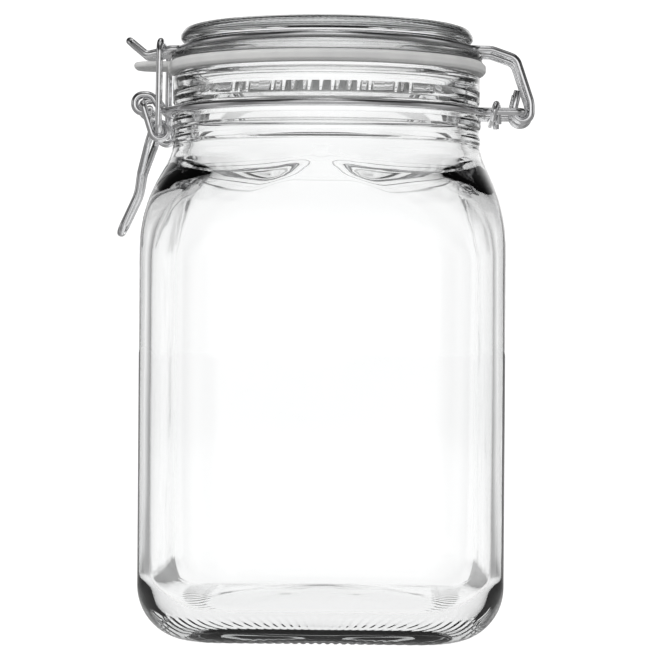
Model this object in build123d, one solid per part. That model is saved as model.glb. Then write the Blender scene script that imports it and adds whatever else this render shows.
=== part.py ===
from build123d import *
import os
from math import asin, atan2, ceil, cos, degrees, hypot, radians, sin, tan

# A swing-top glass storage jar. Millimetres, +Z up, origin at the middle of the base.
# The hinge is on +X, the over-centre clasp on -X, and the jar is alike on both sides of Y = 0.

# glass jar
BODY_HALF = 54.0            # half width of the square body
BODY_CORNER = 26.0          # plan radius of the body's corners
HEEL_RADIUS = 16.0          # round between the sides and the base
HEEL_INNER_RADIUS = 12.5
WALL = 3.5
FLOOR_Z = 7.0               # lowest point of the inner floor
SHOULDER_Z = 114.0          # the straight sides end here
# the shoulder's outline at a few heights: z, half width, corner radius
SHOULDER = [(122.6, 53.4, 28.0), (131.0, 51.8, 33.0), (137.0, 49.9, 40.0), (143.0, 47.3, 46.6)]
SHOULDER_INNER = [(121.0, 49.8, 24.6), (129.0, 48.0, 30.0), (135.0, 45.6, 37.0), (141.0, 41.8, 41.2)]
NECK_RADIUS = 46.8
NECK_RUN_IN = 4.0           # height over which the shoulder's top narrows to the neck
MOUTH_RADIUS = 41.0
LIP_Z = 169.0
BEAD_RADIUS = 47.1          # the bulge under the neck wire
BEAD_LOW_Z = 152.2
BEAD_TOP_Z = 155.0
BEAD_RAMP = 0.6             # height of the ramp under the bead
GROOVE_RAMP = 1.1           # height of the ramps into and out of the groove
LIP_BEVEL = 1.5
GROOVE_RADIUS = 46.2        # the waist that the neck wire grips
GROOVE_TOP_Z = 159.3
PUNT_RADIUS = 33.0          # push-up under the base
PUNT_HEIGHT = 3.0

# rubber gasket
GASKET_TOP_Z = 172.6
GASKET_RADIUS = 48.5
GASKET_HOLE_RADIUS = 37.6
TAB_END_X = -58.7
TAB_WIDTH = 16.0
TAB_LOW_Z = 170.4
TAB_TOP_Z = GASKET_TOP_Z
TAB_END_RADIUS = 7.3
TAB_ROOT = 6.0              # the tongue starts this far inside the ring's edge

# glass lid
FLANGE_RADIUS = 47.5
FLANGE_TOP_Z = 174.9
PLUG_RADIUS = 37.0          # the part of the lid that drops into the mouth
PLUG_LOW_Z = 166.0
LID_GROOVE_RADIUS = 42.2    # the lid wire sits in this groove
KNOB_RADIUS = 44.6
KNOB_LOW_Z = 179.0
KNOB_TOP_Z = 183.0
LID_CAVITY_RADIUS = 33.0
LID_CAVITY_TOP_Z = 176.5
LID_DISH_RADIUS = 37.0
LID_DISH_DEPTH = 1.2
LID_BEVEL = 1.0
KNOB_TOP_BEVEL = 1.5
CAVITY_BEND = 3.0

# wires
LID_WIRE = 2.4
NECK_WIRE = 2.3
TIE_WIRE = 1.9
CLASP_WIRE = 2.1
LID_RING_RADIUS = 43.6
LID_RING_Z = 176.2          # where the lid wire leaves its ring towards the hinge and the nose
LID_RING_LIFT = 1.0         # the ring stands this much higher at its front and back
NECK_RING_RADIUS = 47.45
NECK_RING_Z = 157.2
RING_STEP = 30.0            # degrees of ring between two corners of its route
TANGENT_SHARE = 0.98        # a bend this much smaller than its corner leaves a short run each side

# joint axes, all along Y
HINGE_X = 59.35
HINGE_Z = NECK_RING_Z
LEVER_X = -55.0
LEVER_Z = 159.3
BAIL_X = -49.9
BAIL_Z = 150.9

# hinge
HINGE_ARM_Y = 13.0
HINGE_BEND = 2.4
HOOK_Y = 9.0
HOOK_RADIUS = 2.5
TIE_X = 50.1                # the span between the arms
TIE_STEPS = 5
TIE_WRAP = 270.0            # degrees of the tie wire's turn round each arm
TIE_GAP = 0.15              # between the tie wire and the arm
TIE_STEP_ASIDE = 0.1        # between the stub and the span
TIE_STUB = 3.7              # the cut ends reach this far below the arms

# clasp
CROOK_Y = 10.5
CROOK_RADIUS = 2.6
LEVER_Y = 13.1
EYE_Y = 10.9                # the handle leaves the eye in this plane
EYE_RADIUS = 2.4
EYE_STEPS = 6
AXLE_END_Y = 9.0
PIN_END_Y = 9.2
EYE_RUN = 4.5               # the handle's legs run this far past the eye before they close in
AXLE_BEND = 1.5
BAIL_Y = 15.9
BAIL_TOP_X = -49.6
BAIL_TOP_Z = 177.95
BAIL_FOOT_BEND = 1.7
BAIL_TOP_BEND = 3.6

# the wires' corners, each as (x, y, z) of the leg on the -Y side, and the bend at each corner
HOOK_TAIL = (HINGE_X - HOOK_RADIUS + 1.1, -HOOK_Y, HINGE_Z + 6.6)
HINGE_LEG = [
    (HINGE_X + HOOK_RADIUS, -HOOK_Y, HINGE_Z + 3.0),
    (57.4, -HOOK_Y, 173.5),
    (50.0, -HOOK_Y, 176.1),
]
HOOK_UPRIGHT = 1.6          # height of the hook's straight inner side above its pin
HOOK_BENDS = [4.0, 2.45, 2.45, 8.0, 3.5, 6.0, 4.0]
HOOK_LEAVE = 26.0           # degrees round the lid ring where each leg leaves it
NOSE = [(-47.2, -6.0, LID_RING_Z), (-54.5, -6.0, 174.4), (-60.0, -4.6, 178.9)]
NOSE_BENDS = [1.8, 3.0, 2.4, 2.2]
NOSE_LEAVE = 20.0
CROOK_OUT = LEVER_X - CROOK_RADIUS
CROOK = [
    (LEVER_X + 2.4, -CROOK_Y, LEVER_Z - CROOK_RADIUS),
    (CROOK_OUT, -CROOK_Y, LEVER_Z - CROOK_RADIUS),
    (CROOK_OUT, -CROOK_Y, LEVER_Z + CROOK_RADIUS),
    (-52.6, -CROOK_Y, LEVER_Z + CROOK_RADIUS),
    (-49.8, -CROOK_Y, NECK_RING_Z + 0.4),
]
CROOK_BENDS = [2.5, 2.5, 2.6, 2.2, 1.6]
CROOK_LEAVE = 25.0
LOOP_LEAVE = 28.0
LOOP_BEND = 4.0
HANDLE = [(-56.2, -5.9, 138.6), (-57.1, -5.1, 132.2), (-62.6, -4.6, 120.4)]
HANDLE_BENDS = [3.0, 4.0, 14.0, 3.4]


def mirrored(corners):
    """The same corners on the other side of Y = 0, in the opposite order."""
    return [(x, -y, z) for x, y, z in reversed(corners)]


def bent_wire(corners, bends, diameter):
    """One length of round wire with straight runs between its corners, each bent to its own radius."""
    route = FilletPolyline(*corners, radius=bends)
    end = Plane(origin=route @ 0, z_dir=route % 0)
    return sweep(end * Circle(diameter / 2), path=route)


def ring_corners(radius, z, first_deg, last_deg, lift=0.0):
    """Corners that a wire bent round a ring goes through, at even angles, with the bend for each."""
    count = ceil(abs(last_deg - first_deg) / RING_STEP)
    half = (last_deg - first_deg) / count / 2
    reach = radius / cos(radians(half))
    angles = [radians(first_deg + half * (2 * i + 1)) for i in range(count)]
    corners = [(reach * cos(a), reach * sin(a), z + lift * sin(a) ** 2) for a in angles]
    return corners, [radius * TANGENT_SHARE] * count


def tangent_corner(radius, leave_deg, y, z, side):
    """Where a wire that leaves a ring along its tangent meets a leg parallel to X at this Y."""
    a = radians(leave_deg)
    run = (radius * sin(a) - abs(y)) / cos(a)
    return (side * (radius * cos(a) + run * sin(a)), y, z)


def rounded_square(z, half, corner):
    """The outline of the body or shoulder at one height."""
    return Plane.XY.offset(z) * RectangleRounded(2 * half, 2 * half, corner)


def square_shell(half, corner, bottom_z, bottom_bend, shoulder):
    """A rounded-square block with a rounded lower edge that closes in to a round neck."""
    block = extrude(rounded_square(bottom_z, half, corner), SHOULDER_Z - bottom_z)
    block = fillet(block.edges().group_by(Axis.Z)[0], bottom_bend)
    outlines = [rounded_square(SHOULDER_Z, half, corner)]
    outlines += [rounded_square(*row) for row in shoulder]
    return block + loft(outlines)


def dome(radius, height, z):
    """A low round dome that stands on this height."""
    sphere_radius = (radius**2 + height**2) / (2 * height)
    cap = Pos(0, 0, z + height - sphere_radius) * Sphere(sphere_radius)
    return cap & (Pos(0, 0, z + height / 2) * Cylinder(radius, height))


def glass_jar():
    """Square jar body with a round neck, a bead, a groove for the neck wire, and a push-up in its base."""
    outer = square_shell(BODY_HALF, BODY_CORNER, 0, HEEL_RADIUS, SHOULDER)
    neck_low = SHOULDER[-1][0]
    neck = Polyline(
        (0, neck_low), (SHOULDER[-1][1], neck_low), (NECK_RADIUS, neck_low + NECK_RUN_IN),
        (NECK_RADIUS, BEAD_LOW_Z - BEAD_RAMP), (BEAD_RADIUS, BEAD_LOW_Z), (BEAD_RADIUS, BEAD_TOP_Z),
        (GROOVE_RADIUS, BEAD_TOP_Z + GROOVE_RAMP), (GROOVE_RADIUS, GROOVE_TOP_Z),
        (NECK_RADIUS, GROOVE_TOP_Z + GROOVE_RAMP), (NECK_RADIUS, LIP_Z - LIP_BEVEL),
        (NECK_RADIUS - LIP_BEVEL, LIP_Z), (0, LIP_Z), close=True,
    )
    outer += revolve(Plane.XZ * make_face(neck), Axis.Z)
    inner = square_shell(
        BODY_HALF - WALL, BODY_CORNER - WALL, FLOOR_Z, HEEL_INNER_RADIUS, SHOULDER_INNER
    )
    bore_low = SHOULDER_INNER[-1][0]
    bore = Cylinder(MOUTH_RADIUS, LIP_Z - bore_low + 1, align=(Align.CENTER, Align.CENTER, Align.MIN))
    inner += Pos(0, 0, bore_low) * bore
    inner -= dome(PUNT_RADIUS, PUNT_HEIGHT, FLOOR_Z)
    return outer - inner - dome(PUNT_RADIUS, PUNT_HEIGHT, 0)


def glass_lid():
    """Thick pressed lid: a plug, a flange, a wire groove and a knob disc with a shallow dish."""
    outline = Polyline(
        (0, PLUG_LOW_Z), (PLUG_RADIUS - LID_BEVEL, PLUG_LOW_Z), (PLUG_RADIUS, PLUG_LOW_Z + LID_BEVEL),
        (PLUG_RADIUS, GASKET_TOP_Z), (FLANGE_RADIUS, GASKET_TOP_Z), (FLANGE_RADIUS, FLANGE_TOP_Z),
        (LID_GROOVE_RADIUS, FLANGE_TOP_Z), (LID_GROOVE_RADIUS, KNOB_LOW_Z),
        (KNOB_RADIUS - LID_BEVEL, KNOB_LOW_Z), (KNOB_RADIUS, KNOB_LOW_Z + LID_BEVEL),
        (KNOB_RADIUS, KNOB_TOP_Z - KNOB_TOP_BEVEL), (KNOB_RADIUS - KNOB_TOP_BEVEL, KNOB_TOP_Z),
        (0, KNOB_TOP_Z), close=True,
    )
    lid = revolve(Plane.XZ * make_face(outline), Axis.Z)
    cavity = Cylinder(
        LID_CAVITY_RADIUS, LID_CAVITY_TOP_Z - PLUG_LOW_Z, align=(Align.CENTER, Align.CENTER, Align.MIN)
    )
    cavity = fillet(cavity.edges().group_by(Axis.Z)[-1], CAVITY_BEND)
    dish = Cylinder(LID_DISH_RADIUS, LID_DISH_DEPTH, align=(Align.CENTER, Align.CENTER, Align.MAX))
    return lid - Pos(0, 0, PLUG_LOW_Z) * cavity - Pos(0, 0, KNOB_TOP_Z) * dish


def rubber_gasket():
    """Flat rubber ring under the lid, with a tongue on the clasp side to pull it off by."""
    height = GASKET_TOP_Z - LIP_Z
    ring = extrude(Circle(GASKET_RADIUS), height)
    tab_length = -TAB_END_X - GASKET_RADIUS + TAB_ROOT
    tab = Plane.XY.offset(TAB_LOW_Z - LIP_Z) * Pos(TAB_END_X + tab_length / 2, 0) * Rectangle(
        tab_length, TAB_WIDTH
    )
    tab = extrude(tab, TAB_TOP_Z - TAB_LOW_Z)
    tab = fillet(tab.edges().filter_by(Axis.Z).group_by(Axis.X)[0], TAB_END_RADIUS)
    gasket = ring + tab - extrude(Circle(GASKET_HOLE_RADIUS), height)
    return Pos(0, 0, LIP_Z) * gasket


def lid_wire():
    """One wire round the lid: a nose that the bail catches on, the ring, and two hooks at the hinge."""
    hook_low = HINGE_Z - HOOK_RADIUS
    hook_in = HINGE_X - HOOK_RADIUS
    hook = [
        HOOK_TAIL,
        (hook_in, -HOOK_Y, HINGE_Z + HOOK_UPRIGHT),
        (hook_in, -HOOK_Y, hook_low),
        (HINGE_X + HOOK_RADIUS, -HOOK_Y, hook_low),
    ]
    hook += HINGE_LEG
    hook += [tangent_corner(LID_RING_RADIUS, HOOK_LEAVE, -HOOK_Y, LID_RING_Z, 1)]
    arc, arc_bends = ring_corners(
        LID_RING_RADIUS, LID_RING_Z, -HOOK_LEAVE, NOSE_LEAVE - 180, LID_RING_LIFT
    )
    nose = [tangent_corner(LID_RING_RADIUS, NOSE_LEAVE, NOSE[0][1], LID_RING_Z, -1)] + NOSE
    half = hook + arc + nose
    bends = HOOK_BENDS + arc_bends + NOSE_BENDS
    return bent_wire(half + mirrored(half), bends + bends[::-1], LID_WIRE)


def neck_wire():
    """One wire round the neck: a crook at each end for the lever, and a loop that is the hinge pin."""
    crook = CROOK + [tangent_corner(NECK_RING_RADIUS, CROOK_LEAVE, -CROOK_Y, NECK_RING_Z, -1)]
    arc, arc_bends = ring_corners(NECK_RING_RADIUS, NECK_RING_Z, CROOK_LEAVE - 180, -LOOP_LEAVE)
    loop = [
        tangent_corner(NECK_RING_RADIUS, LOOP_LEAVE, -HINGE_ARM_Y, NECK_RING_Z, 1),
        (HINGE_X, -HINGE_ARM_Y, HINGE_Z),
    ]
    half = crook + arc + loop
    bends = CROOK_BENDS + arc_bends + [LOOP_BEND, HINGE_BEND]
    return bent_wire(half + mirrored(half), bends + bends[::-1], NECK_WIRE)


def coil_corners(radius, start_deg, turn_deg, steps, first_y, last_y):
    """Corners in the XZ plane round the origin for a wire wound round Y, drifting from one Y to another."""
    half = radians(turn_deg / steps / 2)
    reach = radius / cos(half)
    corners = []
    for i in range(steps):
        a = radians(start_deg) + half * (2 * i + 1)
        y = first_y + (last_y - first_y) * (i + 0.5) / steps
        corners.append((reach * cos(a), y, reach * sin(a)))
    return corners


def hinge_tie_wire():
    """A short wire under the hinge loop, wound round each arm so that the loop can't spread."""
    wind = NECK_WIRE / 2 + TIE_WIRE / 2 + TIE_GAP
    pitch = TIE_WIRE + TIE_STEP_ASIDE
    coil = coil_corners(wind, 0, TIE_WRAP, TIE_STEPS, pitch, 0)
    half = [(TIE_X + pitch, wind - HINGE_ARM_Y, HINGE_Z - TIE_STUB)]
    half += [(TIE_X + along, across - HINGE_ARM_Y, HINGE_Z + up) for across, along, up in coil]
    bends = [wind * TANGENT_SHARE] * TIE_STEPS
    return bent_wire(half + mirrored(half), bends + bends[::-1], TIE_WIRE)


def clasp_lever():
    """One wire: an axle end, a leg, an eye for the bail and a leg of the handle, and the same again."""
    span = hypot(BAIL_X - LEVER_X, BAIL_Z - LEVER_Z)
    down = degrees(atan2(BAIL_Z - LEVER_Z, BAIL_X - LEVER_X))
    leg_deg = down - degrees(asin(EYE_RADIUS / span))
    waist_x, _, waist_z = HANDLE[0]
    reach = hypot(waist_x - BAIL_X, waist_z - BAIL_Z)
    away = degrees(atan2(waist_z - BAIL_Z, waist_x - BAIL_X)) + 360
    handle_deg = away + degrees(asin(EYE_RADIUS / reach))
    eye = coil_corners(EYE_RADIUS, leg_deg - 90, handle_deg - leg_deg, EYE_STEPS, -LEVER_Y, -EYE_Y)
    leave = radians(handle_deg)
    run_x = BAIL_X + EYE_RADIUS * sin(leave) + EYE_RUN * cos(leave)
    run_z = BAIL_Z - EYE_RADIUS * cos(leave) + EYE_RUN * sin(leave)
    half = [(LEVER_X, -AXLE_END_Y, LEVER_Z), (LEVER_X, -LEVER_Y, LEVER_Z)]
    half += [(BAIL_X + x, y, BAIL_Z + z) for x, y, z in eye]
    half += [(run_x, -EYE_Y, run_z)] + HANDLE
    bends = [AXLE_BEND] + [EYE_RADIUS * TANGENT_SHARE] * EYE_STEPS + HANDLE_BENDS
    return bent_wire(half + mirrored(half), bends + bends[::-1], CLASP_WIRE)


def clasp_bail():
    """Wire loop that the lever pulls down over the nose; its ends turn in through the lever's eyes."""
    half = [
        (BAIL_X, -PIN_END_Y, BAIL_Z),
        (BAIL_X, -BAIL_Y, BAIL_Z),
        (BAIL_TOP_X, -BAIL_Y, BAIL_TOP_Z),
    ]
    bends = [BAIL_FOOT_BEND, BAIL_TOP_BEND]
    return bent_wire(half + mirrored(half), bends + bends[::-1], CLASP_WIRE)


PARTS = {
    "glass_jar": glass_jar,
    "glass_lid": glass_lid,
    "rubber_gasket": rubber_gasket,
    "lid_wire": lid_wire,
    "neck_wire": neck_wire,
    "hinge_tie_wire": hinge_tie_wire,
    "clasp_lever": clasp_lever,
    "clasp_bail": clasp_bail,
}

os.makedirs("parts", exist_ok=True)
for name, make in PARTS.items():
    export_step(make(), f"parts/{name}.step")
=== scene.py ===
import bpy
import math
from mathutils import Matrix, Vector, noise

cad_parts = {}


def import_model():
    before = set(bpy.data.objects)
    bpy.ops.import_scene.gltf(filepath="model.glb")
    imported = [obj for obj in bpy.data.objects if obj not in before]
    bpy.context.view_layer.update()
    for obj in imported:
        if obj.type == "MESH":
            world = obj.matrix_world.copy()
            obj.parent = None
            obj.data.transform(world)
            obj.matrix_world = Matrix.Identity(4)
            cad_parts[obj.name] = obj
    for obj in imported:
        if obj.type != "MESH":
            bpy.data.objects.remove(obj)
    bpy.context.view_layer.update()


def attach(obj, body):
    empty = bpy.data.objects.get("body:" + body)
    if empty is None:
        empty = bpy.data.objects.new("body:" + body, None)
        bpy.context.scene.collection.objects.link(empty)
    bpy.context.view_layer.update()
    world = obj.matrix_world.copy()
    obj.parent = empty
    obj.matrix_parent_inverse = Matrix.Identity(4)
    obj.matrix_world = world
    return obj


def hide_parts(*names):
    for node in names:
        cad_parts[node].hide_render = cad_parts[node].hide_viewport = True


# A swing-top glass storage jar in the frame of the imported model: +Z up, the hinge on +X and the
# clasp on -X, alike on both sides of Y = 0. The pieces' sizes are millimetres, and become metres
# when a mesh is made; the stage, lights and camera are in metres.
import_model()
MM = 0.001

# ---------------------------------------------------------------- sizes of the glass jar
BODY_HALF, BODY_CORNER = 54.0, 26.0     # half width of the square body, plan radius of its corners
WALL = 3.5
HEEL_RADIUS, HEEL_INNER_RADIUS = 16.0, 13.0
HEEL_STEPS = 14
FLOOR_Z, FLOOR_RISE = 7.0, 4.0          # the inner floor's edge, and how much higher its middle is
FLOOR_STEPS = 15
BASE_RING_WIDTH = 3.2                   # between the heel and the push-up
PUNT_HEIGHT, PUNT_FLATTENING = 4.5, 0.12
PUNT_STEPS = 14
PUNT_EDGE = [(0.5, 0.0), (0.1, 0.5), (0.0, 1.2)]    # height, and distance outside the push-up
ROUNDER_INSIDE = 14.0                   # the base's outlines gain this much corner radius inwards
BASE_RIB_HEIGHT, BASE_RIB_TOP_Z = 0.4, 1.5
SIDE_LEVELS = (24, 34, 46, 58, 70, 82, 92, 102)
INNER_SIDE_LEVELS = (100, 90, 80, 70, 58, 46, 34, 26)
# the shoulder's outline at a few heights: z, half width, corner radius
SHOULDER = [
    (112.0, 54.0, 26.0), (118.0, 53.9, 26.4), (124.0, 53.3, 28.4), (130.0, 52.1, 32.2),
    (135.0, 50.6, 37.0), (139.0, 49.2, 42.0), (142.0, 48.1, 45.8), (145.0, 47.2, 47.2),
]
SHOULDER_INNER = [
    (110.0, 50.5, 22.5), (116.0, 50.4, 22.9), (122.0, 49.7, 25.0), (128.0, 48.3, 29.4),
    (133.0, 46.4, 34.8), (137.5, 44.0, 40.0), (141.0, 42.3, 42.0), (145.0, 41.2, 41.2),
]
SHOULDER_STEPS = 4
NECK_RADIUS, MOUTH_RADIUS, LIP_Z = 46.8, 41.0, 169.0
BEAD_RADIUS, GROOVE_RADIUS = 47.1, 46.15
# from the shoulder up over the lip and down into the mouth: radius, z, bend
NECK_PROFILE = [
    (47.2, 145.0), (46.6, 147.0, 2.0), (47.0, 148.0, 0.6), (47.0, 149.6, 0.6), (46.5, 150.4, 0.6),
    (46.5, 152.0, 0.6), (BEAD_RADIUS, 152.7, 0.5), (BEAD_RADIUS, 154.8, 0.5),
    (GROOVE_RADIUS, 156.0, 0.8), (GROOVE_RADIUS, 159.0, 0.9), (NECK_RADIUS, 160.2, 0.9),
    (NECK_RADIUS, 163.5, 3.0), (NECK_RADIUS, 168.0, 3.0), (45.8, LIP_Z, 0.9), (42.6, LIP_Z, 0.6),
    (MOUTH_RADIUS, 168.0, 1.0), (MOUTH_RADIUS, 160.0, 1.5), (41.4, 150.0),
]
AROUND = 432                            # columns of the jar's skin
# how far the pressed inner skin wanders, everywhere and further at the shoulder and the floor
WANDER, WANDER_MORE, WANDER_TOP_Z = 0.08, 0.3, 150.0
WANDER_SHOULDER_Z, WANDER_SHOULDER_REACH, WANDER_FLOOR_REACH = 125.0, 20.0, 22.0
WANDER_SCALE = 0.03                     # features per millimetre
WANDER_FADE = 20.0                      # it fades out nearer to the axis than this

# ---------------------------------------------------------------- sizes of the lid and gasket
GASKET_LOW_Z, GASKET_TOP_Z = 169.05, 172.55     # clear of the glass by a hair's breadth
GASKET_RADIUS, GASKET_HOLE_RADIUS = 48.5, 37.6
GASKET_SEAM_Z = 170.8
TAB_END_X, TAB_ROOT_X, TAB_HALF, TAB_BEND = -58.7, -44.0, 8.0, 5.6
TAB_Z, TAB_HALF_HEIGHT = 171.45, 1.0
TAB_ROUNDING, TAB_ROUNDED_X = 0.8, -50.0        # the tongue's rim is rounded outside this X
TAB_LAYERS = 8

FLANGE_RADIUS, FLANGE_LOW_Z, FLANGE_TOP_Z = 47.5, 172.6, 174.9
PLUG_RADIUS, PLUG_LOW_Z = 37.0, 166.0
LID_GROOVE_RADIUS = 42.2
KNOB_RADIUS, KNOB_TOP_Z = 44.6, 183.0
# from the middle of the underside round to the middle of the top: radius, z, bend
LID_PROFILE = [
    (0.4, 176.2), (31.5, 176.6, 3.0), (33.2, 168.4, 1.5), (34.0, PLUG_LOW_Z, 1.2),
    (PLUG_RADIUS, PLUG_LOW_Z + 0.4, 0.8), (PLUG_RADIUS, FLANGE_LOW_Z, 1.0),
    (FLANGE_RADIUS, FLANGE_LOW_Z, 0.7), (FLANGE_RADIUS, FLANGE_TOP_Z, 0.7), (42.6, FLANGE_TOP_Z, 0.8),
    (LID_GROOVE_RADIUS, 177.0, 0.9), (42.8, 178.5, 0.8), (43.9, 178.7, 1.0), (KNOB_RADIUS, 179.4, 0.8),
    (KNOB_RADIUS, 180.4, 1.2), (43.6, 182.3, 2.5), (41.8, KNOB_TOP_Z, 1.5), (40.0, KNOB_TOP_Z - 0.2, 1.2),
    (37.5, 181.7, 1.5), (22.0, 181.5, 6.0), (0.4, 181.4),
]
KNURLS, KNURL_DEPTH = 140, 0.14
KNURL_INNER_RADIUS, KNURL_LOW_Z = 41.0, 181.6

# ---------------------------------------------------------------- sizes of the wires
LID_WIRE, NECK_WIRE, TIE_WIRE, CLASP_WIRE = 2.4, 2.3, 1.9, 2.1
WIRE_SIDES = 20
BEND_STEP, WIDE_BEND_STEP, WIDE_BEND = 9.0, 3.0, 20.0   # degrees per step, finer from this radius up
CUT_END = [(0.0, 0.80), (0.06, 0.93), (0.2, 1.0)]   # distance from the end, share of the radius
RING_STEP = 30.0            # degrees of ring between two corners of its route
TANGENT_SHARE = 0.98        # a bend this much smaller than its corner leaves a short run each side
LID_RING_RADIUS, LID_RING_Z, LID_RING_LIFT = 43.6, 176.2, 1.0   # higher by the lift at front and back
NECK_RING_RADIUS, NECK_RING_Z = 47.45, 157.2
# the axes of the joints, all along Y
HINGE_X, HINGE_Z = 59.35, NECK_RING_Z
LEVER_X, LEVER_Z = -55.0, 159.3
BAIL_X, BAIL_Z = -49.9, 150.9

# the wires' corners on the -Y side, and the bend at each corner
HOOK_Y, HOOK_RADIUS, HOOK_LEAVE = 9.0, 2.5, 26.0    # leaves the ring at this many degrees
HOOK = [
    (HINGE_X - HOOK_RADIUS + 1.1, -HOOK_Y, HINGE_Z + 6.6), (HINGE_X - HOOK_RADIUS, -HOOK_Y, HINGE_Z + 1.6),
    (HINGE_X - HOOK_RADIUS, -HOOK_Y, HINGE_Z - HOOK_RADIUS),
    (HINGE_X + HOOK_RADIUS, -HOOK_Y, HINGE_Z - HOOK_RADIUS),
    (HINGE_X + HOOK_RADIUS, -HOOK_Y, HINGE_Z + 3.0), (57.4, -HOOK_Y, 173.5), (50.0, -HOOK_Y, 176.1),
]
HOOK_BENDS = [4.0, 2.45, 2.45, 8.0, 3.5, 6.0, 4.0]
NOSE = [(-47.2, -6.0, LID_RING_Z), (-54.5, -6.0, 174.4), (-60.0, -4.6, 178.9)]
NOSE_BENDS = [1.8, 3.0, 2.4, 2.2]
NOSE_LEAVE = 20.0
CROOK_Y, CROOK_RADIUS, CROOK_LEAVE = 10.5, 2.6, 25.0
CROOK = [
    (LEVER_X + 2.4, -CROOK_Y, LEVER_Z - CROOK_RADIUS),
    (LEVER_X - CROOK_RADIUS, -CROOK_Y, LEVER_Z - CROOK_RADIUS),
    (LEVER_X - CROOK_RADIUS, -CROOK_Y, LEVER_Z + CROOK_RADIUS),
    (-52.6, -CROOK_Y, LEVER_Z + CROOK_RADIUS), (-49.8, -CROOK_Y, NECK_RING_Z + 0.4),
]
CROOK_BENDS = [2.5, 2.5, 2.6, 2.2, 1.6]
HINGE_ARM_Y, LOOP_LEAVE = 13.0, 28.0
LOOP_BENDS = [4.0, 2.4]
TIE_X, TIE_STEPS, TIE_WRAP = 50.1, 5, 270.0
TIE_GAP, TIE_STEP_ASIDE, TIE_STUB = 0.15, 0.1, 3.7
LEVER_Y, EYE_Y, AXLE_END_Y, AXLE_BEND = 13.1, 10.9, 9.0, 1.5
EYE_RADIUS, EYE_STEPS = 2.4, 6
EYE_RUN = 4.5               # the handle's legs run this far past the eye before they close in
HANDLE = [(-56.2, -5.9, 138.6), (-57.1, -5.1, 132.2), (-62.6, -4.6, 120.4)]
HANDLE_BENDS = [3.0, 4.0, 14.0, 3.4]
BAIL = [(BAIL_X, -9.2, BAIL_Z), (BAIL_X, -15.9, BAIL_Z), (-49.6, -15.9, 177.95)]
BAIL_BENDS = [1.7, 3.6]


# ---------------------------------------------------------------- meshes
def new_object(name, verts, faces):
    """A mesh object in the scene from points in millimetres."""
    mesh = bpy.data.meshes.new(name)
    mesh.from_pydata([Vector(v) * MM for v in verts], [], faces)
    piece = bpy.data.objects.new(name, mesh)
    bpy.context.scene.collection.objects.link(piece)
    return piece


def mesh_piece(name, verts, faces, body):
    """A smooth-shaded piece that rides on a body."""
    piece = new_object(name, verts, faces)
    piece.data.validate()
    piece.data.shade_smooth()
    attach(piece, body)
    return piece


def arc_points(centre, radius, first_deg, last_deg, steps):
    """Points on an arc in a plane."""
    points = []
    for i in range(steps + 1):
        a = math.radians(first_deg + (last_deg - first_deg) * i / steps)
        points.append((centre[0] + radius * math.cos(a), centre[1] + radius * math.sin(a)))
    return points


def rounded(corners, steps):
    """An open profile of (x, y, bend) corners, each rounded to its bend; the two ends have none."""
    longest = 0.48              # share of a straight run that one bend may take up
    points = [corner[:2] for corner in corners]
    out = [points[0]]
    for i in range(1, len(points) - 1):
        here, before, after = (Vector(points[k]) for k in (i, i - 1, i + 1))
        u, v = (before - here), (after - here)
        half = u.angle(v) / 2
        cut = min(corners[i][2] / math.tan(half), longest * u.length, longest * v.length)
        first, last = here + u.normalized() * cut, here + v.normalized() * cut
        for k in range(steps + 1):
            t = k / steps
            out.append(tuple(first * (1 - t) ** 2 + here * 2 * t * (1 - t) + last * t ** 2))
    out.append(points[-1])
    return out


def square_radius(angle, half, corner):
    """Distance from the axis to a rounded square's outline, in one direction."""
    c, s = abs(math.cos(angle)), abs(math.sin(angle))
    c, s = max(c, s), min(c, s)
    straight = half - corner
    if straight < 1e-6:
        return half
    if half * s / c <= straight:
        return half / c
    b = straight * (c + s)
    return b + math.sqrt(b * b - 2 * straight * straight + corner * corner)


def ring_faces(ring_count, around, ring_after):
    """Faces between each ring of points and the ring after it."""
    faces = []
    for r in range(ring_count):
        q = ring_after(r)
        for i in range(around):
            j = (i + 1) % around
            faces.append((r * around + i, r * around + j, q * around + j, q * around + i))
    return faces


def closed_skin(rings):
    """Points and faces of a skin through rings of equally many points, closed at both of its ends."""
    around = len(rings[0])
    last = len(rings) - 1
    verts = [p for ring in rings for p in ring]
    faces = ring_faces(last, around, lambda r: r + 1)
    for r in (0, last):
        verts.append(tuple(sum(p[axis] for p in rings[r]) / around for axis in range(3)))
        tip = len(verts) - 1
        for i in range(around):
            a, b = r * around + i, r * around + (i + 1) % around
            faces.append((tip, b, a) if r == 0 else (tip, a, b))
    return verts, faces


def lathe_rings(profile, columns, ripple=None):
    """Rings for a turned shape; ripple(angle, radius, z) may change a point's radius."""
    rings = []
    for radius, z in profile:
        ring = []
        for i in range(columns):
            a = 2 * math.pi * i / columns
            r = ripple(a, radius, z) if ripple else radius
            ring.append((r * math.cos(a), r * math.sin(a), z))
        rings.append(ring)
    return rings


def smooth_rows(rows, steps):
    """Rows of numbers with smooth in-between rows (Catmull-Rom)."""
    out = []
    for i in range(len(rows) - 1):
        a, b, c, d = rows[max(i - 1, 0)], rows[i], rows[i + 1], rows[min(i + 2, len(rows) - 1)]
        for k in range(steps):
            t = k / steps
            out.append(tuple(
                0.5 * (2 * q + (r - p) * t + (2 * p - 5 * q + 4 * r - s) * t * t
                       + (3 * q - p - 3 * r + s) * t ** 3)
                for p, q, r, s in zip(a, b, c, d)
            ))
    out.append(rows[-1])
    return out


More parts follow.
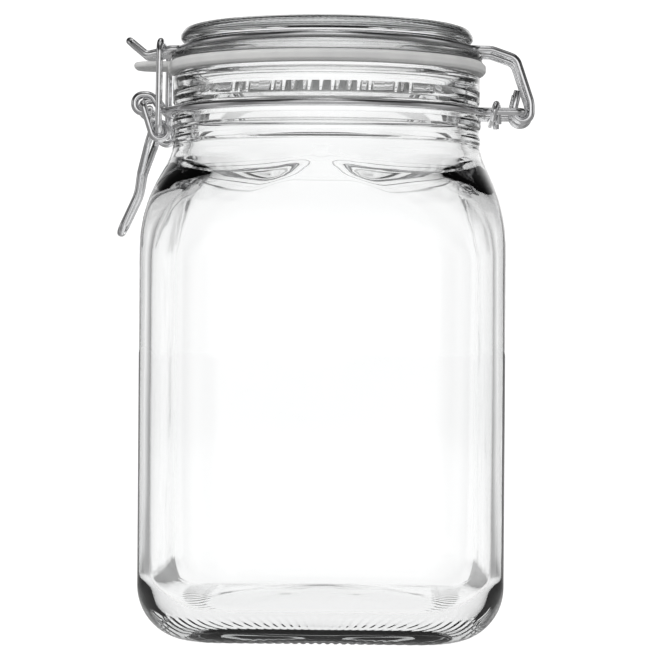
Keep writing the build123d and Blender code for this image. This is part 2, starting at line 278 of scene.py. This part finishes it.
# ---------------------------------------------------------------- glass jar
def heel_rows(half, corner, radius, floor_z):
    """Rows from the edge of a flat base up round the heel to the straight side."""
    rows = []
    for i in range(HEEL_STEPS + 1):
        a = math.radians(90 * i / HEEL_STEPS)
        inset = radius * (1 - math.sin(a))
        rows.append((floor_z + radius * (1 - math.cos(a)), half - inset, corner - inset))
    return rows


def inward_row(z, half, corner, share):
    """A row of the base at a share of its width, with rounder corners the nearer it is to the axis."""
    return (z, half * share, min(half * share, corner + ROUNDER_INSIDE * (1 - share)))


def jar_rows():
    """The jar's whole skin as (z, half width, corner radius), from under the base to the inner floor."""
    punt_half = BODY_HALF - HEEL_RADIUS - BASE_RING_WIDTH
    punt_corner = BODY_CORNER - HEEL_RADIUS
    rows = []
    for i in range(1, PUNT_STEPS):
        t = i / PUNT_STEPS
        z = PUNT_HEIGHT * (1 - t * t) * (1 - PUNT_FLATTENING * math.sin(math.pi * t))
        rows.append(inward_row(z, punt_half, punt_corner, t))
    rows += [(z, punt_half + outside, punt_corner) for z, outside in PUNT_EDGE]
    rows += heel_rows(BODY_HALF, BODY_CORNER, HEEL_RADIUS, 0.0)
    rows += [(z, BODY_HALF, BODY_CORNER) for z in SIDE_LEVELS]
    rows += smooth_rows(SHOULDER, SHOULDER_STEPS)
    rows += [(z, r, r) for r, z in rounded(NECK_PROFILE, 5)[1:]]
    rows += list(reversed(smooth_rows(SHOULDER_INNER, SHOULDER_STEPS)))
    inner_half, inner_corner = BODY_HALF - WALL, BODY_CORNER - WALL
    rows += [(z, inner_half, inner_corner) for z in INNER_SIDE_LEVELS]
    rows += list(reversed(heel_rows(inner_half, inner_corner, HEEL_INNER_RADIUS, FLOOR_Z)))
    for i in range(1, FLOOR_STEPS):
        t = 1 - i / FLOOR_STEPS
        z = FLOOR_Z + FLOOR_RISE * (1 - t * t) ** 1.4
        rows.append(inward_row(z, inner_half - HEEL_INNER_RADIUS, inner_corner - HEEL_INNER_RADIUS, t))
    return rows


def base_rib(row, z, column):
    """How far a point of the heel is raised, so that fine ribs alternate with gaps two columns wide."""
    if row < PUNT_STEPS or z > BASE_RIB_TOP_Z:
        return 0.0
    return BASE_RIB_HEIGHT * (column // 2 % 2) * (1.0 - z / BASE_RIB_TOP_Z)


def wander(x, y, z, half):
    """How far the pressed inner skin stands outside its even shape at one point."""
    at_shoulder = max(0.0, 1 - abs(z - WANDER_SHOULDER_Z) / WANDER_SHOULDER_REACH)
    at_floor = max(0.0, 1 - z / WANDER_FLOOR_REACH)
    most = WANDER + WANDER_MORE * at_shoulder + WANDER_MORE * at_floor
    wave = noise.noise(Vector((x, y, z * 0.5)) * WANDER_SCALE)
    return wave * most * min(1.0, half / WANDER_FADE)


def glass_jar():
    """The jar: pressed glass, a little thicker and thinner from place to place on its inner side."""
    rows = jar_rows()
    lip = max(range(len(rows)), key=lambda n: rows[n][0])
    rings = []
    for n, (z, half, corner) in enumerate(rows):
        ring = []
        for i in range(AROUND):
            a = 2 * math.pi * i / AROUND
            r = square_radius(a, half, min(corner, half))
            if n > lip and z < WANDER_TOP_Z:
                r += wander(r * math.cos(a), r * math.sin(a), z, half)
            ring.append((r * math.cos(a), r * math.sin(a), z + base_rib(n, z, i)))
        rings.append(ring)
    verts, faces = closed_skin(rings)
    return mesh_piece("jar_glass", verts, faces, "jar")


# ---------------------------------------------------------------- glass lid
def knurl(angle, radius, z):
    """Fine upright ribs round the upper edge of the knob disc."""
    if radius < KNURL_INNER_RADIUS or z < KNURL_LOW_Z:
        return radius
    fade = min(1.0, (z - KNURL_LOW_Z) / 0.5) * min(1.0, (radius - KNURL_INNER_RADIUS) / 0.8)
    return radius - KNURL_DEPTH * fade * (0.5 - 0.5 * math.cos(KNURLS * angle))


def glass_lid():
    """The lid: a hollow plug, a flange, a groove for its wire and a dished disc to hold it by."""
    verts, faces = closed_skin(lathe_rings(rounded(LID_PROFILE, 4), KNURLS * 4, knurl))
    return mesh_piece("lid_glass", verts, faces, "lid")


# ---------------------------------------------------------------- gasket
def gasket():
    """Rubber ring with a rounded rim, and its pull tongue, joined into one skin."""
    profile = rounded(
        [(GASKET_HOLE_RADIUS, GASKET_SEAM_Z), (GASKET_HOLE_RADIUS, GASKET_TOP_Z, 0.5),
         (47.6, GASKET_TOP_Z, 0.6), (GASKET_RADIUS, 171.6, 0.8), (GASKET_RADIUS, 169.9, 0.8),
         (47.8, GASKET_LOW_Z, 0.6), (GASKET_HOLE_RADIUS, GASKET_LOW_Z, 0.5),
         (GASKET_HOLE_RADIUS, GASKET_SEAM_Z)], 4,
    )[:-1]
    rings = lathe_rings(profile, 256)
    verts = [p for ring in rings for p in ring]
    inward = ring_faces(len(rings), len(rings[0]), lambda r: (r + 1) % len(rings))
    faces = [(a, d, c, b) for a, b, c, d in inward]
    ring = mesh_piece("gasket_rubber", verts, faces, "lid")
    tab = tongue()
    union = ring.modifiers.new("tongue", "BOOLEAN")
    union.operation, union.solver, union.object = "UNION", "EXACT", tab
    joined = bpy.data.meshes.new_from_object(ring.evaluated_get(bpy.context.evaluated_depsgraph_get()))
    ring.modifiers.clear()
    ring.data = joined
    joined.shade_smooth()
    bpy.data.objects.remove(tab)
    return ring


def tongue():
    """The gasket's pull tongue as a closed rounded plate that starts inside the ring."""
    centre_x, centre_y = TAB_END_X + TAB_BEND, TAB_HALF - TAB_BEND
    outline = [(TAB_ROOT_X, -TAB_HALF)]
    outline += arc_points((centre_x, -centre_y), TAB_BEND, 270, 180, 10)
    outline += arc_points((centre_x, centre_y), TAB_BEND, 180, 90, 10)
    outline += [(TAB_ROOT_X, TAB_HALF)]
    rings = []
    for k in range(TAB_LAYERS + 1):
        a = math.radians(-90 + 180 * k / TAB_LAYERS)
        inset = TAB_ROUNDING * (1 - math.cos(a))
        rings.append([
            (x + (inset if x < TAB_ROUNDED_X else 0), y * (1 - inset / TAB_HALF),
             TAB_Z + TAB_HALF_HEIGHT * math.sin(a))
            for x, y in reversed(outline)
        ])
    return new_object("tongue", *closed_skin(rings))


# ---------------------------------------------------------------- wires
def wire_route(corners, bends):
    """Points along straight runs joined by round bends, closest together in the bends."""
    points = [Vector(corners[0])]
    for i in range(1, len(corners) - 1):
        here, before, after = (Vector(corners[k]) for k in (i, i - 1, i + 1))
        u, v = (before - here).normalized(), (after - here).normalized()
        half = u.angle(v) / 2
        radius = bends[i - 1]
        cut = radius / math.tan(half)
        centre = here + (u + v).normalized() * (radius / math.sin(half))
        first, last = here + u * cut, here + v * cut
        turn = math.pi - 2 * half
        step_deg = BEND_STEP if radius < WIDE_BEND else WIDE_BEND_STEP
        steps = max(3, math.ceil(turn / math.radians(step_deg)))
        spoke_a, spoke_b = first - centre, last - centre
        for k in range(steps + 1):
            t = k / steps
            w1 = math.sin((1 - t) * turn) / math.sin(turn)
            w2 = math.sin(t * turn) / math.sin(turn)
            points.append(centre + spoke_a * w1 + spoke_b * w2)
    points.append(Vector(corners[-1]))
    return points


def without_repeats(points, nearest=0.02):
    """The points without any that lies almost on the one before it."""
    kept = [points[0]]
    for p in points[1:]:
        if (p - kept[-1]).length > nearest:
            kept.append(p)
    return kept


def wire(name, half, half_bends, diameter, body):
    """A round wire with slightly rounded cut ends, along a route given by its -Y half."""
    corners = half + [(x, -y, z) for x, y, z in reversed(half)]
    points = without_repeats(wire_route(corners, half_bends + half_bends[::-1]))
    last = len(points) - 1
    tangents = [(points[min(i + 1, last)] - points[max(i - 1, 0)]).normalized() for i in range(last + 1)]
    normal = tangents[0].orthogonal().normalized()
    rings = []
    for i, (p, t) in enumerate(zip(points, tangents)):
        normal = (normal - t * normal.dot(t)).normalized()
        side = t.cross(normal)
        sections = [(0.0, 1.0)]
        if i == 0:
            sections = CUT_END
        if i == last:
            sections = [(-along, share) for along, share in reversed(CUT_END)]
        for along, share in sections:
            radius = diameter / 2 * share
            rings.append([
                tuple(p + t * along + (normal * math.cos(a) + side * math.sin(a)) * radius)
                for a in (2 * math.pi * k / WIRE_SIDES for k in range(WIRE_SIDES))
            ])
    verts, faces = closed_skin(rings)
    return mesh_piece(name, verts, faces, body)


def ring_corners(radius, z, first_deg, last_deg, lift=0.0):
    """Corners and bends that take a wire round part of a ring."""
    count = math.ceil(abs(last_deg - first_deg) / RING_STEP)
    half = (last_deg - first_deg) / count / 2
    reach = radius / math.cos(math.radians(half))
    angles = [math.radians(first_deg + half * (2 * i + 1)) for i in range(count)]
    corners = [(reach * math.cos(a), reach * math.sin(a), z + lift * math.sin(a) ** 2) for a in angles]
    return corners, [radius * TANGENT_SHARE] * count


def tangent_corner(radius, leave_deg, y, z, side):
    """Where a wire that leaves a ring along its tangent meets a leg parallel to X at this Y."""
    a = math.radians(leave_deg)
    run = (radius * math.sin(a) - abs(y)) / math.cos(a)
    return (side * (radius * math.cos(a) + run * math.sin(a)), y, z)


def coil_corners(radius, start_deg, turn_deg, steps, first_y, last_y):
    """Corners round the origin for a wire wound round Y, drifting from one Y to another."""
    half = math.radians(turn_deg / steps / 2)
    reach = radius / math.cos(half)
    corners = []
    for i in range(steps):
        a = math.radians(start_deg) + half * (2 * i + 1)
        y = first_y + (last_y - first_y) * (i + 0.5) / steps
        corners.append((reach * math.cos(a), y, reach * math.sin(a)))
    return corners


def lid_wire():
    """One wire round the lid: two hooks at the hinge, the ring, and the nose that the bail catches on."""
    hook = HOOK + [tangent_corner(LID_RING_RADIUS, HOOK_LEAVE, -HOOK_Y, LID_RING_Z, 1)]
    arc, arc_bends = ring_corners(LID_RING_RADIUS, LID_RING_Z, -HOOK_LEAVE, NOSE_LEAVE - 180, LID_RING_LIFT)
    nose = [tangent_corner(LID_RING_RADIUS, NOSE_LEAVE, NOSE[0][1], LID_RING_Z, -1)] + NOSE
    bends = HOOK_BENDS + arc_bends + NOSE_BENDS
    return wire("lid_wire_steel", hook + arc + nose, bends, LID_WIRE, "lid")


def neck_wire():
    """One wire round the neck: a crook at each end for the lever, and the loop that is the hinge pin."""
    crook = CROOK + [tangent_corner(NECK_RING_RADIUS, CROOK_LEAVE, -CROOK_Y, NECK_RING_Z, -1)]
    arc, arc_bends = ring_corners(NECK_RING_RADIUS, NECK_RING_Z, CROOK_LEAVE - 180, -LOOP_LEAVE)
    loop = [tangent_corner(NECK_RING_RADIUS, LOOP_LEAVE, -HINGE_ARM_Y, NECK_RING_Z, 1)]
    loop += [(HINGE_X, -HINGE_ARM_Y, HINGE_Z)]
    bends = CROOK_BENDS + arc_bends + LOOP_BENDS
    return wire("neck_wire_steel", crook + arc + loop, bends, NECK_WIRE, "jar")


def tie_wire():
    """Short wire under the hinge loop, wound round each of its arms."""
    wind = NECK_WIRE / 2 + TIE_WIRE / 2 + TIE_GAP
    pitch = TIE_WIRE + TIE_STEP_ASIDE
    coil = coil_corners(wind, 0, TIE_WRAP, TIE_STEPS, pitch, 0)
    half = [(TIE_X + pitch, wind - HINGE_ARM_Y, HINGE_Z - TIE_STUB)]
    half += [(TIE_X + along, across - HINGE_ARM_Y, HINGE_Z + up) for across, along, up in coil]
    return wire("hinge_tie_steel", half, [wind * TANGENT_SHARE] * TIE_STEPS, TIE_WIRE, "jar")


def clasp_lever():
    """One wire: on each side an axle end, a leg, an eye for the bail and a leg of the handle."""
    waist_x, _, waist_z = HANDLE[0]
    down = math.degrees(math.atan2(BAIL_Z - LEVER_Z, BAIL_X - LEVER_X))
    span = math.hypot(BAIL_X - LEVER_X, BAIL_Z - LEVER_Z)
    leg_deg = down - math.degrees(math.asin(EYE_RADIUS / span))
    away = math.degrees(math.atan2(waist_z - BAIL_Z, waist_x - BAIL_X)) + 360
    reach = math.hypot(waist_x - BAIL_X, waist_z - BAIL_Z)
    handle_deg = away + math.degrees(math.asin(EYE_RADIUS / reach))
    eye = coil_corners(EYE_RADIUS, leg_deg - 90, handle_deg - leg_deg, EYE_STEPS, -LEVER_Y, -EYE_Y)
    leave = math.radians(handle_deg)
    run_x = BAIL_X + EYE_RADIUS * math.sin(leave) + EYE_RUN * math.cos(leave)
    run_z = BAIL_Z - EYE_RADIUS * math.cos(leave) + EYE_RUN * math.sin(leave)
    half = [(LEVER_X, -AXLE_END_Y, LEVER_Z), (LEVER_X, -LEVER_Y, LEVER_Z)]
    half += [(BAIL_X + x, y, BAIL_Z + z) for x, y, z in eye]
    half += [(run_x, -EYE_Y, run_z)] + HANDLE
    bends = [AXLE_BEND] + [EYE_RADIUS * TANGENT_SHARE] * EYE_STEPS + HANDLE_BENDS
    return wire("clasp_lever_steel", half, bends, CLASP_WIRE, "lever")


def clasp_bail():
    """Wire loop whose ends turn in through the lever's eyes."""
    return wire("clasp_bail_steel", BAIL, BAIL_BENDS, CLASP_WIRE, "bail")


# ---------------------------------------------------------------- shader nodes
def new_material(name):
    """A node material, its tree and its Principled shader."""
    material = bpy.data.materials.new(name)
    material.use_nodes = True
    return material, material.node_tree, material.node_tree.nodes["Principled BSDF"]


def noise_level(tree, scale, detail):
    """The level of a noise in object space, with this many features per metre."""
    place = tree.nodes.new("ShaderNodeTexCoord")
    texture = tree.nodes.new("ShaderNodeTexNoise")
    texture.inputs["Scale"].default_value = scale
    texture.inputs["Detail"].default_value = detail
    tree.links.new(place.outputs["Object"], texture.inputs["Vector"])
    return texture.outputs["Fac"]


def ramp(tree, value, stops):
    """A colour ramp on a value; each stop is a position and a colour, or a grey level."""
    node = tree.nodes.new("ShaderNodeValToRGB")
    while len(node.color_ramp.elements) < len(stops):
        node.color_ramp.elements.new(0.5)
    for element, (position, colour) in zip(node.color_ramp.elements, stops):
        element.position = position
        element.color = (*colour, 1) if isinstance(colour, tuple) else (colour, colour, colour, 1)
    tree.links.new(value, node.inputs["Fac"])
    return node.outputs["Color"]


def math_value(tree, operation, *values):
    """The result of a Math node; each value is a socket or a number."""
    node = tree.nodes.new("ShaderNodeMath")
    node.operation = operation
    for socket, value in zip(node.inputs, values):
        if isinstance(value, (int, float)):
            socket.default_value = value
        else:
            tree.links.new(value, socket)
    return node.outputs["Value"]


def bump(tree, shader, level, distance):
    """Raises the skin by a level times a distance in metres."""
    node = tree.nodes.new("ShaderNodeBump")
    node.inputs["Distance"].default_value = distance
    tree.links.new(level, node.inputs["Height"])
    tree.links.new(node.outputs["Normal"], shader.inputs["Normal"])


# ---------------------------------------------------------------- materials
def clear_glass(name, wave_scale, wave_depth):
    """Pressed soda glass: colourless, faintly grey through a long path, with a gently wavy skin."""
    material, tree, shader = new_material(name)
    shader.inputs["Transmission Weight"].default_value = 1.0
    shader.inputs["IOR"].default_value = 1.5
    bump(tree, shader, noise_level(tree, wave_scale, 2.0), wave_depth)
    rough = ramp(tree, noise_level(tree, 300.0, 3.0), [(0.3, 0.0), (0.9, 0.03)])
    tree.links.new(rough, shader.inputs["Roughness"])
    tint = ramp(tree, noise_level(tree, 20.0, 1.0), [(0.2, (0.985, 0.99, 0.99)), (0.8, (1.0, 1.0, 1.0))])
    tree.links.new(tint, shader.inputs["Base Color"])
    absorb = tree.nodes.new("ShaderNodeVolumeAbsorption")
    absorb.inputs["Color"].default_value = (0.55, 0.56, 0.56, 1)
    absorb.inputs["Density"].default_value = 16.0
    output = next(n for n in tree.nodes if n.type == "OUTPUT_MATERIAL")
    tree.links.new(absorb.outputs["Volume"], output.inputs["Volume"])
    return material


def rubber():
    """Pale translucent rubber: soft sheen, slightly uneven colour and a fine moulded skin."""
    material, tree, shader = new_material("pale_rubber")
    tones = [(0.3, (0.50, 0.50, 0.50)), (0.7, (0.58, 0.58, 0.57))]
    tree.links.new(ramp(tree, noise_level(tree, 90.0, 4.0), tones), shader.inputs["Base Color"])
    rough = ramp(tree, noise_level(tree, 700.0, 4.0), [(0.2, 0.42), (0.8, 0.6)])
    tree.links.new(rough, shader.inputs["Roughness"])
    shader.inputs["Subsurface Weight"].default_value = 0.35
    shader.inputs["Subsurface Radius"].default_value = (0.004, 0.004, 0.004)
    bump(tree, shader, noise_level(tree, 1800.0, 3.0), 0.00003)
    return material


def steel():
    """Bright drawn steel wire with slightly uneven polish and a fine skin."""
    material, tree, shader = new_material("wire_steel")
    shader.inputs["Metallic"].default_value = 1.0
    tones = [(0.25, (0.72, 0.72, 0.73)), (0.75, (0.86, 0.86, 0.87))]
    tree.links.new(ramp(tree, noise_level(tree, 120.0, 4.0), tones), shader.inputs["Base Color"])
    rough = ramp(tree, noise_level(tree, 900.0, 5.0), [(0.2, 0.06), (0.8, 0.16)])
    tree.links.new(rough, shader.inputs["Roughness"])
    bump(tree, shader, noise_level(tree, 2500.0, 3.0), 0.00002)
    return material


def paint(piece, material):
    """Gives a piece this material alone."""
    piece.data.materials.clear()
    piece.data.materials.append(material)


# ---------------------------------------------------------------- stage, lights, camera
# grey levels of the studio, each with the sideways or upward part of a direction that it belongs to
SIDEWAYS_LEVELS = [(0.58, 1.0), (0.78, 0.3), (0.94, 0.3), (1.0, 0.8)]
OVERHEAD_LEVELS = [(0.0, 1.0), (0.25, 1.0), (0.48, 0.75), (0.75, 0.65), (0.9, 0.9)]
MIRROR_SIDEWAYS_LEVELS = [(0.3, 1.0), (0.55, 0.13), (0.9, 0.13), (1.0, 0.6)]
MIRROR_OVERHEAD_LEVELS = [(0.2, 1.0), (0.42, 0.13), (0.8, 0.13), (0.92, 1.0)]
STUDIO_STRENGTH = 1.12
FLOOR_HALF = 6.0
FLOOR_NEAR = [(0.1, 1.0), (0.2, 0.0)]   # fully bright this near the jar, whatever the direction
FLOOR_DIFFUSE_LOSS, FLOOR_MIRROR_LOSS = 0.5, 0.7

JAR_MIDDLE = (0, 0, 0.1)
# name, place, size and watts
LIGHTS = [
    ("key", (-0.7, -0.5, 0.75), (0.5, 0.5), 6.0),
    ("fill", (0.9, -0.6, 0.5), (0.5, 0.8), 4.0),
    ("back", (0.3, 0.9, 0.8), (0.8, 0.4), 5.0),
]

CAMERA_LENS, CAMERA_SENSOR, CAMERA_SHIFT_UP = 148.0, 36.0, -0.0123
CAMERA_DISTANCE, CAMERA_HEIGHT = 0.816, 0.0952
CAMERA_TURN, CAMERA_ROLL = math.radians(1.8), math.radians(0.4)


def sideways_level(tree, place, stops):
    """A grey level by compass direction: stops run from 0, front or back, to 1, at either side."""
    flat = tree.nodes.new("ShaderNodeVectorMath")
    flat.operation = "MULTIPLY"
    flat.inputs[1].default_value = (1, 1, 0)
    tree.links.new(place, flat.inputs[0])
    unit = tree.nodes.new("ShaderNodeVectorMath")
    unit.operation = "NORMALIZE"
    tree.links.new(flat.outputs["Vector"], unit.inputs[0])
    split = tree.nodes.new("ShaderNodeSeparateXYZ")
    tree.links.new(unit.outputs["Vector"], split.inputs["Vector"])
    return ramp(tree, math_value(tree, "ABSOLUTE", split.outputs["X"]), stops)


def mirror_share(tree, path):
    """1 for a ray that a surface has just mirrored, and 0 for one that has come through glass."""
    not_through = math_value(tree, "MULTIPLY_ADD", path.outputs["Is Transmission Ray"], -1.0, 1.0)
    return math_value(tree, "MULTIPLY", path.outputs["Is Glossy Ray"], not_through)


def floor():
    """A glowing white table, darker towards its corners except in the camera's direct view."""
    s = FLOOR_HALF / MM
    piece = new_object("floor", [(-s, -s, 0), (s, -s, 0), (s, s, 0), (-s, s, 0)], [(0, 1, 2, 3)])
    material, tree, shader = new_material("white_floor")
    shader.inputs["Base Color"].default_value = (0.1, 0.1, 0.1, 1)
    shader.inputs["Roughness"].default_value = 0.9
    shader.inputs["Emission Color"].default_value = (1, 1, 1, 1)
    place = tree.nodes.new("ShaderNodeTexCoord").outputs["Object"]
    away = tree.nodes.new("ShaderNodeVectorMath")
    away.operation = "LENGTH"
    tree.links.new(place, away.inputs[0])
    near = ramp(tree, away.outputs["Value"], FLOOR_NEAR)
    bright = math_value(tree, "MAXIMUM", sideways_level(tree, place, SIDEWAYS_LEVELS), near)
    path = tree.nodes.new("ShaderNodeLightPath")
    seen = math_value(tree, "MAXIMUM", bright, path.outputs["Is Camera Ray"])
    diffuse = math_value(tree, "MULTIPLY_ADD", path.outputs["Is Diffuse Ray"], -FLOOR_DIFFUSE_LOSS, 1.0)
    mirrored = math_value(tree, "MULTIPLY_ADD", mirror_share(tree, path), -FLOOR_MIRROR_LOSS, 1.0)
    strength = math_value(tree, "MULTIPLY", seen, math_value(tree, "MULTIPLY", diffuse, mirrored))
    tree.links.new(strength, shader.inputs["Emission Strength"])
    paint(piece, material)


def studio_level(tree, place, upward, sideways_stops, overhead_stops):
    """The studio's grey level in one direction."""
    overhead = ramp(tree, upward, overhead_stops)
    return math_value(tree, "MULTIPLY", overhead, sideways_level(tree, place, sideways_stops))


def world():
    """A white studio, darker overhead and between its front and its sides.

    It has more contrast in mirrored light, and is plain white in the camera's direct view.
    """
    scene_world = bpy.data.worlds.new("studio")
    bpy.context.scene.world = scene_world
    scene_world.use_nodes = True
    tree = scene_world.node_tree
    place = tree.nodes.new("ShaderNodeTexCoord").outputs["Generated"]
    split = tree.nodes.new("ShaderNodeSeparateXYZ")
    tree.links.new(place, split.inputs["Vector"])
    upward = split.outputs["Z"]
    plain = studio_level(tree, place, upward, SIDEWAYS_LEVELS, OVERHEAD_LEVELS)
    mirrored = studio_level(tree, place, upward, MIRROR_SIDEWAYS_LEVELS, MIRROR_OVERHEAD_LEVELS)
    path = tree.nodes.new("ShaderNodeLightPath")
    change = math_value(tree, "SUBTRACT", mirrored, plain)
    level = math_value(tree, "MULTIPLY_ADD", change, mirror_share(tree, path), plain)
    seen = math_value(tree, "MAXIMUM", level, path.outputs["Is Camera Ray"])
    background = tree.nodes["Background"]
    tree.links.new(seen, background.inputs["Color"])
    background.inputs["Strength"].default_value = STUDIO_STRENGTH


def area_light(name, place, size, watts):
    """A soft lamp aimed at the jar, which shows in no reflection and through no glass."""
    data = bpy.data.lights.new(name, "AREA")
    data.shape = "RECTANGLE"
    data.size, data.size_y = size
    data.energy = watts
    lamp = bpy.data.objects.new(name, data)
    bpy.context.scene.collection.objects.link(lamp)
    lamp.visible_glossy = False
    lamp.visible_transmission = False
    lamp.location = place
    lamp.rotation_euler = (Vector(JAR_MIDDLE) - Vector(place)).to_track_quat("-Z", "Y").to_euler()


def camera():
    """Level with the middle of the jar and in front of it, a little towards the hinge."""
    data = bpy.data.cameras.new("camera")
    data.lens = CAMERA_LENS
    data.sensor_width = CAMERA_SENSOR
    data.shift_y = CAMERA_SHIFT_UP
    eye = bpy.data.objects.new("camera", data)
    bpy.context.scene.collection.objects.link(eye)
    ahead = CAMERA_DISTANCE * math.cos(CAMERA_TURN)
    eye.location = (CAMERA_DISTANCE * math.sin(CAMERA_TURN), -ahead, CAMERA_HEIGHT)
    level = Matrix.Rotation(CAMERA_TURN, 4, "Z") @ Matrix.Rotation(math.radians(90), 4, "X")
    eye.rotation_euler = (level @ Matrix.Rotation(CAMERA_ROLL, 4, "Z")).to_euler()
    bpy.context.scene.camera = eye


# ---------------------------------------------------------------- assembly
def build():
    """Makes each piece in place of its CAD node."""
    jar_skin = clear_glass("jar_glass_skin", 30.0, 0.00012)
    lid_skin = clear_glass("lid_glass_skin", 60.0, 0.0001)
    wire_steel = steel()
    pieces = [
        (glass_jar(), "glass_jar", jar_skin), (glass_lid(), "glass_lid", lid_skin),
        (gasket(), "rubber_gasket", rubber()), (lid_wire(), "lid_wire", wire_steel),
        (neck_wire(), "neck_wire", wire_steel), (tie_wire(), "hinge_tie_wire", wire_steel),
        (clasp_lever(), "clasp_lever", wire_steel), (clasp_bail(), "clasp_bail", wire_steel),
    ]
    for piece, node, material in pieces:
        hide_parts(node)
        paint(piece, material)


build()
floor()
world()
for light in LIGHTS:
    area_light(*light)
camera()
bpy.context.scene.view_settings.view_transform = "Standard"
